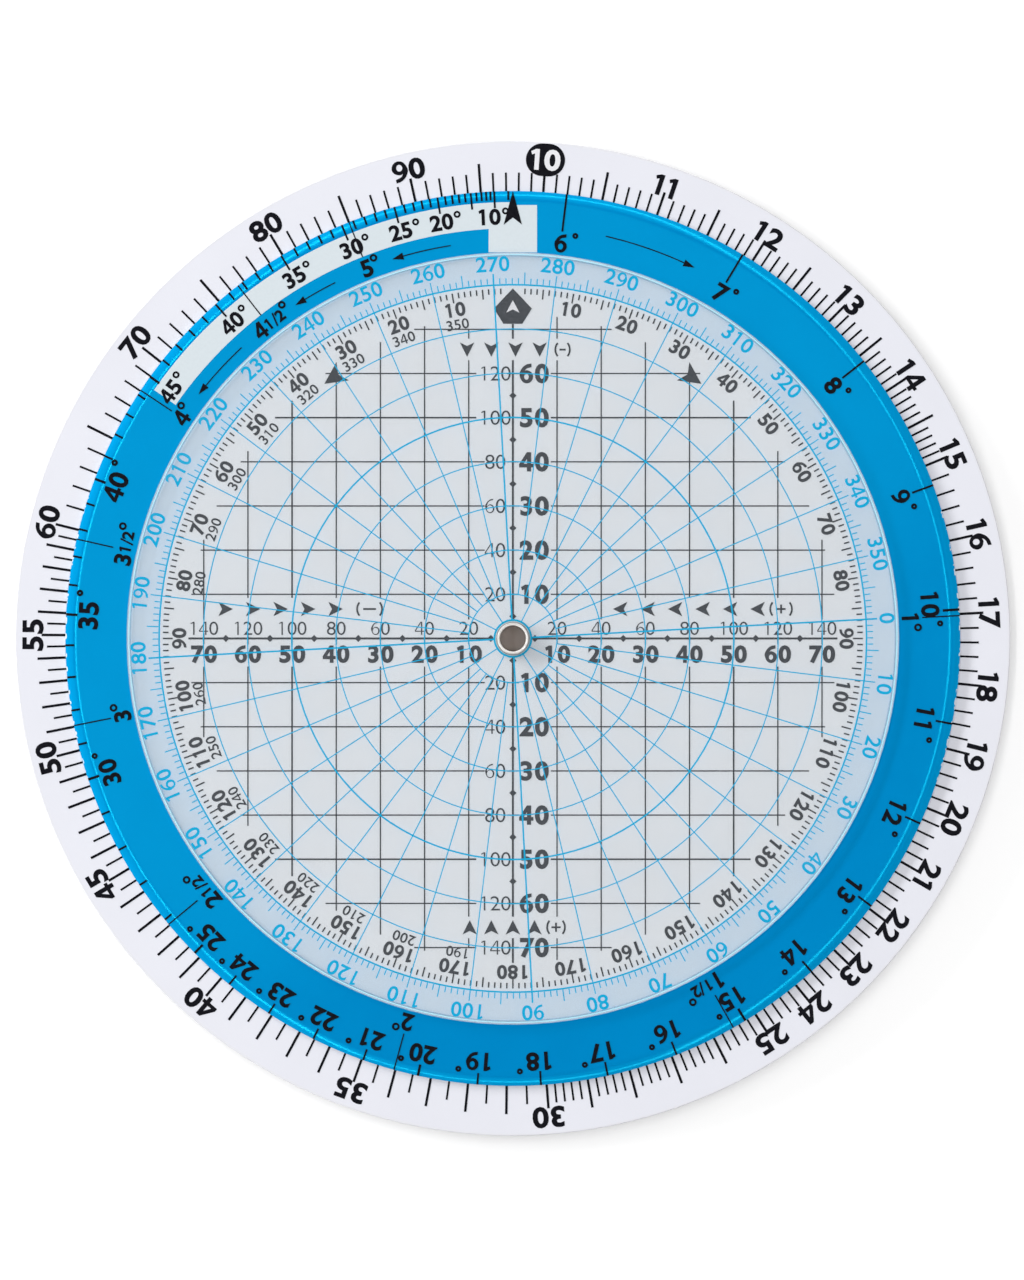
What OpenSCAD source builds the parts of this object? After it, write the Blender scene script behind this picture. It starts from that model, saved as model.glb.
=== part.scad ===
// Circular flight computer: a fixed white base disc carries turning discs on one hollow eyelet.
// The wind side (wind disc under a frosted azimuth disc) faces up, the computer side faces down.
// Each log scale is printed clockwise and runs once round its disc from 10 to 100.
// The origin lies on the eyelet's axis, at the flat of its set end, and +Y points at the wind index.

/* [Discs] */
// Radius of the base disc
base_r = 76.2; // [70:0.1:90]
// Width of the base disc that shows round the wind disc
base_border = 7.75; // [7.5:0.05:10]
// Width of the blue band on the wind disc that shows round the azimuth disc
band_w = 9.45; // [8.5:0.05:12]
// Width of the ring for the compass numbers at the azimuth disc's edge
rose_border = 5; // [4:0.1:7]
// Width of the base disc that shows round the computer disc
computer_border = 7.75; // [7.5:0.05:10]

/* [Thicknesses] */
// Thickness of the base disc
base_t = 0.9; // [0.7:0.05:2]
// Thickness of the wind disc
wind_t = 0.8; // [0.7:0.05:1.5]
// Thickness of the azimuth disc
azimuth_t = 0.5; // [0.4:0.05:1]
// Thickness of the computer disc
computer_t = 0.7; // [0.5:0.05:1.5]
// Thickness of the clear cursor
cursor_t = 0.8; // [0.6:0.05:2]
// Thickness of the slip washers between the discs
slip_t = 0.2; // [0.15:0.01:0.5]
// Thickness of the blue film on the wind disc
film_t = 0.03; // [0.02:0.01:0.05]
// Thickness of a printed line
ink_t = 0.03; // [0.02:0.01:0.05]

/* [Edges] */
// Rounding of the die-cut edges of the base and computer discs
edge_round = 0.15; // [0.05:0.05:0.2]
// Rounding of the azimuth disc's thin edge
azimuth_round = 0.1; // [0.05:0.01:0.15]
// Width of the wind disc's rounded rim
rim_w = 2; // [1:0.1:4]
// Fall of the wind disc's rounded rim from its top face to its edge
rim_drop = 0.45; // [0.2:0.05:0.55]

/* [Eyelet] */
// Radius of the hole through the eyelet
eyelet_bore_r = 1.9; // [1.5:0.05:3]
// Wall of the eyelet's barrel
eyelet_wall = 0.3; // [0.2:0.05:0.5]
// Radius of the rolled bead at both ends of the eyelet
bead_r = 0.33; // [0.3:0.01:0.6]
// Height of the front bead's centre over the azimuth disc
bead_rise = 0.25; // [0.05:0.01:0.3]
// Height of the set end's bead, which is pressed flat
set_t = 0.4; // [0.3:0.05:0.6]
// Height of the pressed bead's centre over its flat
set_rise = 0.2; // [0.1:0.01:0.25]
// Radial clearance of the discs on the barrel
turn_clearance = 0.06; // [0.02:0.01:0.1]
// Outer radius of the washer under the set end
washer_r = 4.5; // [3.5:0.1:7]
// Thickness of the washer under the set end
washer_t = 0.25; // [0.2:0.05:0.6]
// Outer radius of the slip washers
slip_r = 5; // [3.5:0.1:7]
// Width of the narrow slip ring under the see-through azimuth disc
narrow_slip_w = 0.6; // [0.4:0.05:0.65]

/* [Log scales] */
// Width of a fine graduation
fine_w = 0.3; // [0.15:0.01:0.35]
// Width of a numbered or long graduation
bold_w = 0.38; // [0.2:0.01:0.5]
// Length of print tucked under a neighbouring disc's edge
tuck = 0.5; // [0.2:0.1:1]
// Length of a fine graduation
log_fine = 2.9; // [2:0.1:3.2]
// Length of a numbered graduation, which ends below its number
log_numbered = 3.7; // [3.3:0.1:4]
// Length of a long graduation without a number
log_long = 4.4; // [4:0.1:5]
// Height of the black badge behind the figure 10
unit_badge_h = 5; // [4:0.1:5.4]
// Width of the black badge behind the figure 10
unit_badge_w = 6; // [5.5:0.1:8]
// Distance from the black badge to the base disc's edge
unit_badge_in = 0.25; // [0.2:0.05:0.8]

/* [Wind disc print] */
// Last angle of the sine and cosine scales
angle_last = 45; // [40:5:50]
// Length of the thin lines to the small sine angles
small_angle_line = 5.8; // [5:0.1:6.5]
// Length of a short graduation of the sine and cosine scales
angle_short = 1.4; // [1:0.1:1.6]
// Length of a numbered graduation of the cosine scale
angle_long = 2.6; // [2:0.1:3]
// Step by which the crowding sine graduations shorten
angle_step = 0.4; // [0.2:0.1:0.6]
// Step by which the long sine graduations from 6 to 9 degrees shorten
long_step = 0.77; // [0.5:0.01:0.9]
// Distance from the wind disc's edge to the white cosine band
cos_band_in = 1.75; // [1.5:0.05:2]
// Width of the white cosine band
cos_band_w = 4; // [3:0.1:4.5]
// Turn by which the cosine band runs past its last graduation
cos_band_past = 1.1; // [0.5:0.1:2]
// Width of the white box behind the index
index_box_w = 7.4; // [6:0.1:9]
// Distance from the wind disc's edge to the white box
index_box_in = 2.2; // [1.8:0.1:2.6]
// Length of the index dart
index_len = 5.2; // [4:0.1:5.5]
// Width of the index dart
index_w = 2.8; // [2:0.1:4]
// Depth of the notch in the index dart's tail
index_notch = 1.1; // [0.5:0.1:2]

/* [Wind grid] */
// Number of speed rings on the rose, ten units apart
speed_rings = 8; // [6:1:10]
// Number of the bolder speed ring and grid lines
bold_ring = 5; // [3:1:6]
// Width of a thin grid line
grid_w = 0.19; // [0.15:0.01:0.35]
// Width of the bolder grid lines
grid_bold_w = 0.24; // [0.2:0.01:0.4]
// Width of the grid's axes
axis_w = 0.3; // [0.2:0.01:0.6]
// Width of the ring for the variation numbers, which ends the grid
variation_ring = 4.4; // [4:0.1:6]
// Distance from the upright axis to the grid on its left, beside numbers of two figures
grid_left = 4.3; // [3.5:0.1:5.5]
// Distance from the upright axis to the grid on its left, beside numbers of three figures
grid_left_wide = 5.6; // [4.5:0.1:6.5]
// First grid line beside a number of three figures
first_wide = 5; // [4:1:6]
// Distance from the upright axis to the grid on its right
grid_right = 5.8; // [4:0.1:6.5]
// Distance from the level axis to the grid above it
grid_above = 2.9; // [2.5:0.1:4]
// Distance from the level axis to the grid below it
grid_below = 4.3; // [3.5:0.1:5.5]
// Speed rings below the gaps for the head and tail wind arrows
arrow_gap_ring = 6.3; // [6.2:0.05:6.4]
// Height of the gaps for the wind arrows
arrow_gap_h = 3.3; // [2.5:0.1:3.8]
// Half width of the gaps for the head and tail wind arrows
arrow_gap_half = 8.6; // [7.5:0.1:10]
// First grid line that ends over the gaps for the crosswind arrows
cross_gap_first = 3; // [2:1:4]
// Last grid line that ends over the gaps for the crosswind arrows
cross_gap_last = 6; // [5:1:6]
// Half length of the cross marks at the tens on the axes
axis_mark = 0.9; // [0.5:0.1:1.5]
// Width across the diamonds at the fives on the axes
axis_diamond = 1.1; // [0.7:0.1:1.5]
// Gap between the rose circle and the variation scale below it
variation_gap = 0.5; // [0.3:0.1:1]
// Width of a mark on the variation scale
variation_w = 0.22; // [0.15:0.01:0.35]
// Length of a single degree on the variation scale
variation_fine = 0.85; // [0.5:0.05:1.2]
// Length of a five-degree mark on the variation scale
variation_long = 1.5; // [1.3:0.05:2]
// Length of the course index
course_len = 5.4; // [4:0.1:6]
// Width of the course index
course_w = 5.8; // [4:0.1:7]

/* [Rose] */
// Width of a line of the compass rose
rose_w = 0.17; // [0.1:0.01:0.3]
// Width of the rose's bolder lines
rose_bold_w = 0.25; // [0.2:0.01:0.45]
// Length of a single degree on the compass rose
degree_fine = 1; // [0.6:0.1:1.3]
// Length of a five-degree mark on the compass rose
degree_long = 1.9; // [1.5:0.1:2.4]
// Length of the ten-degree radials past the rose circle
radial_past = 1.7; // [1.2:0.1:2]
// Width of the printed ring round the eyelet
hub_ring_w = 0.3; // [0.2:0.05:0.5]
// Gap between the eyelet's bead and the printed ring
hub_ring_gap = 0.1; // [0.05:0.05:0.3]

/* [Computer side] */
// Inner radius of the outer window
outer_window_r = 44; // [40:0.5:47]
// Inner radius of the two inner windows
inner_window_r = 27; // [22:0.5:32]
// Width of the windows
window_w = 6; // [4:0.5:8]
// Clockwise turn at which the lower windows start
lower_window_from = 150; // [120:1:170]
// Clockwise turn at which the lower windows end
lower_window_to = 215; // [190:1:240]
// Turn from the middle of the upper window to its end
upper_window_half = 40; // [20:1:60]
// Inner radius of the hour scale
hour_r = 56; // [54:0.5:58]
// Length of the hour scale's marks
hour_mark = 2; // [1:0.1:3]
// Width of the speed index at the figure 60
speed_index_w = 4.4; // [3:0.1:6]
// Radius of the cursor's hub
cursor_hub_r = 8; // [6:0.5:10]
// Radius of the cursor's rounded tip
cursor_tip_r = 11; // [10:0.5:16]
// Distance of the cursor's tip inside the base disc's edge
cursor_inset = 0.8; // [0.2:0.1:4]
// Width of the hairline
hairline_w = 0.2; // [0.1:0.05:0.4]
// Distance of the hairline's ends from the slip washer and the cursor's tip
hairline_in = 1.5; // [0.5:0.1:4]

/* [Set to] */
// Clockwise turn of the base disc's figure 10 from the wind index
base_turn = 3.9; // [0:0.1:360]
// Clockwise turn of the compass zero from the wind index
azimuth_turn = 86.9; // [0:0.1:360]
// Clockwise turn of the computer disc's figure 10, seen from the back
computer_turn = 330; // [0:1:360]
// Clockwise turn of the cursor, seen from the back
cursor_turn = 50; // [0:1:360]

/* [Hidden] */
$fn = 128;

// Overrun of a cut past the face that it opens, and the gap that keeps two printed lines apart
overrun = 1;
line_gap = 0.02;

// Radii, from the base disc inwards
wind_r = base_r - base_border;
azimuth_r = wind_r - band_w;
rose_r = azimuth_r - rose_border;
speed_pitch = rose_r / speed_rings;
variation_r = rose_r - variation_gap;
grid_r = rose_r - variation_ring;
course_foot = variation_r - course_len - line_gap;
arrow_gap_y = arrow_gap_ring * speed_pitch;
last_line = speed_rings - 1;
band_r0 = azimuth_r - tuck;
computer_r = base_r - computer_border;
cursor_reach = base_r - cursor_inset;

// The eyelet's barrel and bead, and the holes that turn on it
barrel_r = eyelet_bore_r + eyelet_wall;
hole_r = barrel_r + turn_clearance;
bead_mid_r = eyelet_bore_r + bead_r;
bead_out_r = bead_mid_r + bead_r;
narrow_slip_r = hole_r + narrow_slip_w;
hub_ring_r = bead_out_r + hub_ring_gap + hub_ring_w / 2;

// Heights of the stack, from the eyelet's set end to its front bead
cursor_z = set_t + washer_t;
cursor_slip_z = cursor_z + cursor_t;
computer_z = cursor_slip_z + slip_t;
computer_slip_z = computer_z + computer_t;
base_z = computer_slip_z + slip_t;
wind_slip_z = base_z + base_t;
wind_z = wind_slip_z + slip_t;
azimuth_slip_z = wind_z + wind_t;
azimuth_z = azimuth_slip_z + slip_t;
bead_seat_z = azimuth_z + azimuth_t;
bead_z = bead_seat_z + bead_rise;

// Radius of the arc that rounds the wind disc's rim
rim_arc = (rim_w * rim_w + rim_drop * rim_drop) / (2 * rim_drop);

plastic_white = [0.93, 0.94, 0.96];
band_blue = [0, 0.58, 0.83];
ink_black = [0.1, 0.1, 0.12];
ink_grey = [0.25, 0.26, 0.28];
ink_cyan = [0.25, 0.68, 0.9];
ink_red = [0.75, 0.1, 0.1];
frost = [0.85, 0.88, 0.9, 0.45];
clear_acrylic = [0.85, 0.92, 0.95, 0.3];
nickel = [0.8, 0.8, 0.78];
nylon = [0.9, 0.89, 0.85];

// Clockwise turns of a value on the log, sine, cosine and hour scales
function log_turn(v) = 360 * log(v / 10);
function sine_turn(degrees) = 360 * log(sin(degrees));
function cosine_turn(degrees) = 360 * log(cos(degrees));
function hour_turn(hours) = log_turn(6 * hours);

// Tenths at which the log scales are graduated: by 0.1 at first, and by 1 at the end
log_tenths = concat(
  [for (i = [100:149]) i],
  [for (i = [150:2:298]) i],
  [for (i = [300:5:595]) i],
  [for (i = [600:10:990]) i]
);
function numbered(i) = i % (i <= 250 ? 10 : i < 600 ? 50 : 100) == 0;
function long(i) = i % (i < 150 ? 5 : i < 600 ? 10 : 50) == 0;
function log_len(i) = numbered(i) ? log_numbered : long(i) ? log_long : log_fine;

// Length of a sine graduation, which shortens where the numbers crowd
function sine_len(degrees) =
  degrees < 10 ? small_angle_line - long_step * (degrees - 6) :
  degrees < 14 ? angle_long :
  degrees < 19 ? angle_long - angle_step :
  degrees < 26 || degrees % 5 == 0 ? angle_short + angle_step : angle_short;

// Half length of the grid line at a distance from the middle
function grid_reach(d) = sqrt(max(0, grid_r * grid_r - d * d));

// Flat round plate with rounded edges and a hole that turns on the barrel
module plate(r, t, rounding) {
  difference() {
    rotate_extrude() {
      square([r - rounding, t]);
      translate([0, rounding]) square([r, t - 2 * rounding]);
      for (z = [rounding, t - rounding]) translate([r - rounding, z]) circle(rounding);
    }
    translate([0, 0, -overrun]) cylinder(r = hole_r, h = t + 2 * overrun);
  }
}

// Flat washer on the barrel
module washer(r, t) {
  difference() {
    cylinder(r = r, h = t);
    translate([0, 0, -overrun]) cylinder(r = hole_r, h = t + 2 * overrun);
  }
}

// Half section of the wind disc, with its face and rounded rim raised by lift
module wind_section(lift) {
  square([wind_r - rim_w, wind_t + lift]);
  intersection() {
    translate([wind_r - rim_w, wind_t - rim_arc]) circle(rim_arc + lift);
    translate([wind_r - rim_w - overrun, 0]) square([rim_w + overrun, wind_t + lift]);
  }
}

// Skin on the wind disc's blue band, between two heights over its face
module wind_skin(low, high) {
  translate([0, 0, wind_z]) rotate_extrude() difference() {
    wind_section(high);
    wind_section(low);
    square([band_r0, wind_t + high]);
  }
}

// Everything above the wind disc's underside that lies over an outline
module over_wind_disc() {
  translate([0, 0, wind_z]) linear_extrude(wind_t + overrun) children();
}

// Outline on a face that looks down, drawn as it is seen from the back
module back_print(z) {
  translate([0, 0, z]) rotate([0, 180, 0]) linear_extrude(ink_t) children();
}

module front_print(z) {
  translate([0, 0, z]) linear_extrude(ink_t) children();
}

// Radial line at a clockwise turn
module tick(turn, r0, r1, w) {
  rotate(-turn) translate([-w / 2, min(r0, r1)]) square([w, abs(r1 - r0)]);
}

module ring(r, w) {
  difference() {
    circle(r + w / 2);
    circle(r - w / 2);
  }
}

// Wedge that covers a disc between two clockwise turns less than half a turn apart
module sector(from, to, r) {
  middle = (from + to) / 2;
  reach = 2 * r / cos((to - from) / 2);
  polygon([
    [0, 0],
    reach * [sin(from), cos(from)],
    reach * [sin(middle), cos(middle)],
    reach * [sin(to), cos(to)]
  ]);
}

module arc_band(r0, w, from, to) {
  intersection() {
    ring(r0 + w / 2, w);
    sector(from, to, r0 + w);
  }
}

// Cutter for an arc slot whose round ends lie just inside its sides
module arc_slot(r0, w, from, to, depth) {
  linear_extrude(depth) arc_band(r0, w, from, to);
  for (turn = [from, to])
    rotate(-turn) translate([0, r0 + w / 2, 0]) cylinder(r = w / 2 - line_gap, h = depth);
}

// Log graduations from a foot radius to their length beyond an edge, outwards (1) or inwards (-1)
module log_scale(foot, edge, way) {
  for (i = log_tenths)
    tick(log_turn(i / 10), foot, edge + way * log_len(i), numbered(i) || long(i) ? bold_w : fine_w);
}

// Black badge with round ends at the figure 10
module unit_badge() {
  end_r = unit_badge_h / 2;
  half = unit_badge_w / 2 - end_r;
  translate([0, base_r - unit_badge_in - end_r]) {
    for (x = [-half, half]) translate([x, 0]) circle(end_r);
    square([2 * half, unit_badge_h], center = true);
  }
}

// White box behind the index and white band behind the cosine numbers
module white_patches() {
  box_r0 = azimuth_r + line_gap;
  translate([-index_box_w / 2, box_r0]) square([index_box_w, wind_r - index_box_in - box_r0]);
  arc_band(wind_r - cos_band_in - cos_band_w, cos_band_w, cosine_turn(angle_last) - cos_band_past, 0);
}

// Dart that points outwards at the wind disc's edge
module index_dart() {
  translate([0, wind_r]) polygon([
    [0, 0],
    [index_w / 2, -index_len],
    [0, index_notch - index_len],
    [-index_w / 2, -index_len]
  ]);
}

module angle_scales() {
  for (degrees = [6:angle_last])
    tick(sine_turn(degrees), wind_r - sine_len(degrees), wind_r, degrees % 5 == 0 ? bold_w : fine_w);
  for (degrees = [1:0.5:5])
    tick(sine_turn(degrees), wind_r - small_angle_line, wind_r, grid_w);
  for (degrees = [5, for (d = [10:angle_last - 1]) d]) {
    five = degrees > 5 && degrees % 5 == 0;
    tick(cosine_turn(degrees), wind_r - (five ? angle_long : angle_short), wind_r, fine_w);
  }
  index_dart();
}

// Upright line from a foot to an end above the middle, broken at the gap for the wind arrows
module upright_line(x, w, foot, end) {
  gap_end = arrow_gap_y + arrow_gap_h;
  translate([x - w / 2, 0]) {
    if (abs(x) < arrow_gap_half && end > gap_end) {
      translate([0, foot]) square([w, arrow_gap_y - foot]);
      translate([0, gap_end]) square([w, end - gap_end]);
    }
    else translate([0, foot]) square([w, end - foot]);
  }
}

// Cross marks at the tens and diamonds at the fives of an axis, from the middle up to a ring
module axis_marks(last_ring) {
  for (n = [1:last_line])
    translate([-axis_mark, n * speed_pitch - grid_w / 2]) square([2 * axis_mark, grid_w]);
  for (n = [1:last_line]) if (n - 0.5 < last_ring)
    translate([0, (n - 0.5) * speed_pitch]) rotate(45) square(axis_diamond / sqrt(2), center = true);
}

// Axes of the grid; the upright one is broken for the wind arrows and ends below the course index
module grid_axes() {
  foot = narrow_slip_r + line_gap;
  for (side = [0, 1]) rotate(180 * side) {
    upright_line(0, axis_w, foot, side == 0 ? min(grid_r, course_foot) : grid_r);
    axis_marks(arrow_gap_ring);
    rotate(90) {
      tick(0, foot, grid_r, axis_w);
      axis_marks(speed_rings);
    }
  }
}

// Level grid lines, broken for the numbers beside the upright axis
module level_lines() {
  for (n = [1:last_line], side = [-1, 1]) {
    y = side * n * speed_pitch;
    reach = grid_reach(y);
    w = n == bold_ring ? grid_bold_w : grid_w;
    left = n < first_wide ? grid_left : grid_left_wide;
    if (y == last_line * speed_pitch) translate([-reach, y - w / 2]) square([2 * reach, w]);
    else if (reach > grid_right) {
      translate([-reach, y - w / 2]) square([reach - left, w]);
      translate([grid_right, y - w / 2]) square([reach - grid_right, w]);
    }
  }
}

// Upright grid lines, broken for the numbers at the level axis and for the wind arrows
module upright_lines() {
  for (n = [1:last_line], side = [-1, 1]) {
    x = side * n * speed_pitch;
    reach = x == -speed_pitch ? last_line * speed_pitch : grid_reach(x);
    w = n == bold_ring ? grid_bold_w : grid_w;
    over_gap = n >= cross_gap_first && n <= cross_gap_last;
    upright_line(x, w, over_gap ? grid_above + arrow_gap_h : grid_above, reach);
    rotate(180) upright_line(-x, w, grid_below, reach);
  }
}

// Arrow with a broad six-sided body that points at the variation scale's middle
module course_index() {
  tip_share = 0.28;
  body_share = 0.57;
  translate([0, variation_r]) polygon([
    [0, 0],
    [course_w / 4, -tip_share * course_len],
    [course_w / 2, -body_share * course_len],
    [course_w / 4, -course_len],
    [-course_w / 4, -course_len],
    [-course_w / 2, -body_share * course_len],
    [-course_w / 4, -tip_share * course_len]
  ]);
}

// Cursor before its hole is cut: a hub and a wider round tip, with sides just inside their tangents
module cursor_blank() {
  tip_y = cursor_reach - cursor_tip_r;
  lean = asin((cursor_tip_r - cursor_hub_r) / tip_y);
  hub_side = cursor_hub_r - line_gap;
  tip_side = cursor_tip_r - line_gap;
  cylinder(r = cursor_hub_r, h = cursor_t);
  translate([0, tip_y, 0]) cylinder(r = cursor_tip_r, h = cursor_t);
  linear_extrude(cursor_t) polygon([
    [-hub_side * cos(lean), -hub_side * sin(lean)],
    [-tip_side * cos(lean), tip_y - tip_side * sin(lean)],
    [tip_side * cos(lean), tip_y - tip_side * sin(lean)],
    [hub_side * cos(lean), -hub_side * sin(lean)]
  ]);
}

// Cutter for the computer disc's windows: one long outer arc and two inner arcs
module windows(depth) {
  arc_slot(inner_window_r, window_w, -upper_window_half, upper_window_half, depth);
  for (r = [inner_window_r, outer_window_r])
    arc_slot(r, window_w, lower_window_from, lower_window_to, depth);
}

// Bead of the eyelet, cut flat between two heights
module bead(mid_z, low, high) {
  intersection() {
    translate([bead_mid_r, mid_z]) circle(bead_r);
    translate([eyelet_bore_r, low]) square([2 * bead_r, high - low]);
  }
}

module base_disc() {
  color(plastic_white) translate([0, 0, base_z]) plate(base_r, base_t, edge_round);
}

module base_wind_scale() {
  color(ink_black) front_print(base_z + base_t) rotate(-base_turn) {
    log_scale(wind_r - tuck, wind_r, 1);
    unit_badge();
  }
}

// Log scale round the computer disc, and the scales that its windows show
module base_computer_scale() {
  color(ink_black) back_print(base_z) rotate(-base_turn) {
    log_scale(computer_r - tuck, computer_r, 1);
    unit_badge();
    for (r = [outer_window_r, inner_window_r]) {
      middle = r + window_w / 2;
      ring(middle, fine_w);
      for (turn = [0:5:355]) tick(turn, middle, r + window_w, fine_w);
    }
  }
}

module wind_disc() {
  color(plastic_white) translate([0, 0, wind_z]) difference() {
    rotate_extrude() wind_section(0);
    translate([0, 0, -overrun]) cylinder(r = hole_r, h = wind_t + 2 * overrun);
  }
}

module wind_band() {
  color(band_blue) difference() {
    wind_skin(0, film_t);
    over_wind_disc() white_patches();
  }
}

module wind_patches() {
  color(plastic_white) intersection() {
    wind_skin(0, film_t);
    over_wind_disc() white_patches();
  }
}

module wind_scale() {
  color(ink_black) intersection() {
    wind_skin(film_t, film_t + ink_t);
    over_wind_disc() angle_scales();
  }
}

module wind_grid() {
  color(ink_grey) front_print(azimuth_slip_z) {
    grid_axes();
    level_lines();
    upright_lines();
  }
}

module variation_scale() {
  clear_of_index = 2;
  color(ink_grey) front_print(azimuth_slip_z) {
    for (turn = [clear_of_index:360 - clear_of_index])
      tick(turn, variation_r - (turn % 5 == 0 ? variation_long : variation_fine), variation_r,
        variation_w);
    course_index();
  }
}

module azimuth_disc() {
  color(frost) translate([0, 0, azimuth_z]) plate(azimuth_r, azimuth_t, azimuth_round);
}

// Speed rings and ten-degree radials; only every third radial reaches the eyelet
module azimuth_rose() {
  color(ink_cyan) front_print(bead_seat_z) rotate(-azimuth_turn) {
    ring(hub_ring_r, hub_ring_w);
    for (n = [1:speed_rings])
      ring(n * speed_pitch, n == bold_ring || n == speed_rings ? rose_bold_w : rose_w);
    for (turn = [0:10:350])
      tick(turn, turn % 30 == 0 ? hub_ring_r : speed_pitch, rose_r + radial_past,
        turn % 90 == 0 ? rose_bold_w : rose_w);
  }
}

module azimuth_degrees() {
  foot = rose_r + rose_bold_w / 2 + line_gap;
  color(ink_cyan) front_print(bead_seat_z) rotate(-azimuth_turn)
    for (turn = [0:359]) if (turn % 10 != 0)
      tick(turn, foot, rose_r + (turn % 5 == 0 ? degree_long : degree_fine), rose_w);
}

module computer_disc() {
  color(plastic_white) difference() {
    translate([0, 0, computer_z]) plate(computer_r, computer_t, edge_round);
    translate([0, 0, computer_slip_z + overrun]) rotate([0, 180, computer_turn])
      windows(computer_t + 2 * overrun);
  }
}

// Log scale at the edge, the speed index at its 60, and the hours inside it
module computer_scale() {
  foot = computer_r - edge_round - line_gap;
  color(ink_black) back_print(computer_z) rotate(-computer_turn) {
    log_scale(foot, computer_r, -1);
    rotate(-log_turn(60)) translate([0, computer_r - log_long]) polygon([
      [0, 0],
      [speed_index_w / 2, -log_long],
      [-speed_index_w / 2, -log_long]
    ]);
    for (hours = [1.5:0.5:9.5]) tick(hour_turn(hours), hour_r, hour_r + hour_mark, bold_w);
  }
}

module cursor() {
  color(clear_acrylic) difference() {
    translate([0, 0, cursor_slip_z]) rotate([0, 180, cursor_turn]) cursor_blank();
    translate([0, 0, cursor_z - overrun]) cylinder(r = hole_r, h = cursor_t + 2 * overrun);
  }
}

module cursor_hairline() {
  color(ink_red) back_print(cursor_slip_z + ink_t) rotate(-cursor_turn)
    tick(0, slip_r + hairline_in, cursor_reach - hairline_in, hairline_w);
}

// Hollow eyelet: domed bead in front, barrel, and a bead pressed flat at the back
module eyelet() {
  color(nickel) rotate_extrude() {
    translate([eyelet_bore_r, set_rise]) square([eyelet_wall, bead_z - set_rise]);
    bead(bead_z, bead_seat_z, bead_z + bead_r);
    bead(set_rise, 0, set_t);
  }
}

module eyelet_washer() {
  color(nickel) translate([0, 0, set_t]) washer(washer_r, washer_t);
}

module wind_slip_washer() {
  color(nylon) translate([0, 0, wind_slip_z]) washer(slip_r, slip_t);
}

module azimuth_slip_washer() {
  color(nylon) translate([0, 0, azimuth_slip_z]) washer(narrow_slip_r, slip_t);
}

module computer_slip_washer() {
  color(nylon) translate([0, 0, computer_slip_z]) washer(slip_r, slip_t);
}

module cursor_slip_washer() {
  color(nylon) translate([0, 0, cursor_slip_z]) washer(slip_r, slip_t);
}

base_disc();
base_wind_scale();
base_computer_scale();
wind_disc();
wind_band();
wind_patches();
wind_scale();
wind_grid();
variation_scale();
azimuth_disc();
azimuth_rose();
azimuth_degrees();
computer_disc();
computer_scale();
cursor();
cursor_hairline();
eyelet();
eyelet_washer();
wind_slip_washer();
azimuth_slip_washer();
computer_slip_washer();
cursor_slip_washer();
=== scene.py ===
# %% [markdown]
# # A circular flight computer, dressed for the camera
# The instrument is a stack of thin plastic discs on one hollow eyelet. A white base disc carries a blue
# wind disc, and a frosted see-through compass disc lies on top. The discs, the printed lines and the
# eyelet come from the CAD frame with their true sizes. What is left for Blender is the look: light,
# materials, and all the printed figures. The frame could be remodelled here from scratch, but then the
# two models would drift apart, so the faces and radii below are measured from it.

# %% Load the frame
import math
from collections import namedtuple

import bmesh
import bpy
from mathutils import Matrix, Vector


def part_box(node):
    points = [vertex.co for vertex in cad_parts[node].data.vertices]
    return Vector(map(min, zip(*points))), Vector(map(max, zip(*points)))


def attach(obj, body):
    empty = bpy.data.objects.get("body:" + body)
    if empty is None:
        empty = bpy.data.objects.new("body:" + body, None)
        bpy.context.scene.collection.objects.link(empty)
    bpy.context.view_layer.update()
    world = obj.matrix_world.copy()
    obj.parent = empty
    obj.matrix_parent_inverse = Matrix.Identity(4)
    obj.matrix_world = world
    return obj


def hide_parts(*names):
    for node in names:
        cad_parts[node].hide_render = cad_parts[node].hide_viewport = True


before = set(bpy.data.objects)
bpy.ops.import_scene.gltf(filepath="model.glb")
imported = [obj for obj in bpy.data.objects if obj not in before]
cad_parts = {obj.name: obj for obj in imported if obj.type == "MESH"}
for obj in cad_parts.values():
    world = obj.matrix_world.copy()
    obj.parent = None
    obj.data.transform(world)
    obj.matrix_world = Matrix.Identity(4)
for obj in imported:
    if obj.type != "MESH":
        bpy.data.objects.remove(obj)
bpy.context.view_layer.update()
MM = 0.001

# %% [markdown]
# ## Faces and radii
# Ink always lies on some face of some disc. Typing those heights in again would be easy, but they would
# be wrong after the first change to the CAD. The box of each CAD node gives them instead: the top of the
# base disc is the face that its numbers lie on, and half its width is its radius.

# %% Measure the discs
def top_of(node):
    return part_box(node)[1].z


def underside_of(node):
    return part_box(node)[0].z


def radius_of(node):
    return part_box(node)[1].x


base_face = top_of("base_disc")
band_face = top_of("wind_patches")
grid_face = top_of("wind_disc")
rose_face = top_of("azimuth_disc")
base_r = radius_of("base_disc")
wind_r = radius_of("wind_disc")
azimuth_r = radius_of("azimuth_disc")
computer_r = radius_of("computer_disc")
print("radii in mm:", [round(r / MM, 2) for r in (base_r, wind_r, azimuth_r, computer_r)])

# %% [markdown]
# ## The camera
# The picture is a copy-stand shot: the camera looks straight down, and the instrument's index points
# to the top of the frame. A long lens half a metre up keeps the rims of the upper discs from leaning
# outwards. The height follows from the lens, because the long side of the frame has to take in 196 mm.

# %% Set up the copy stand
LENS = 100
SENSOR = 36
FRAME_HEIGHT = 196.02 * MM
OFF_AXIS = Vector((-0.129, -0.237)) * MM

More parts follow.
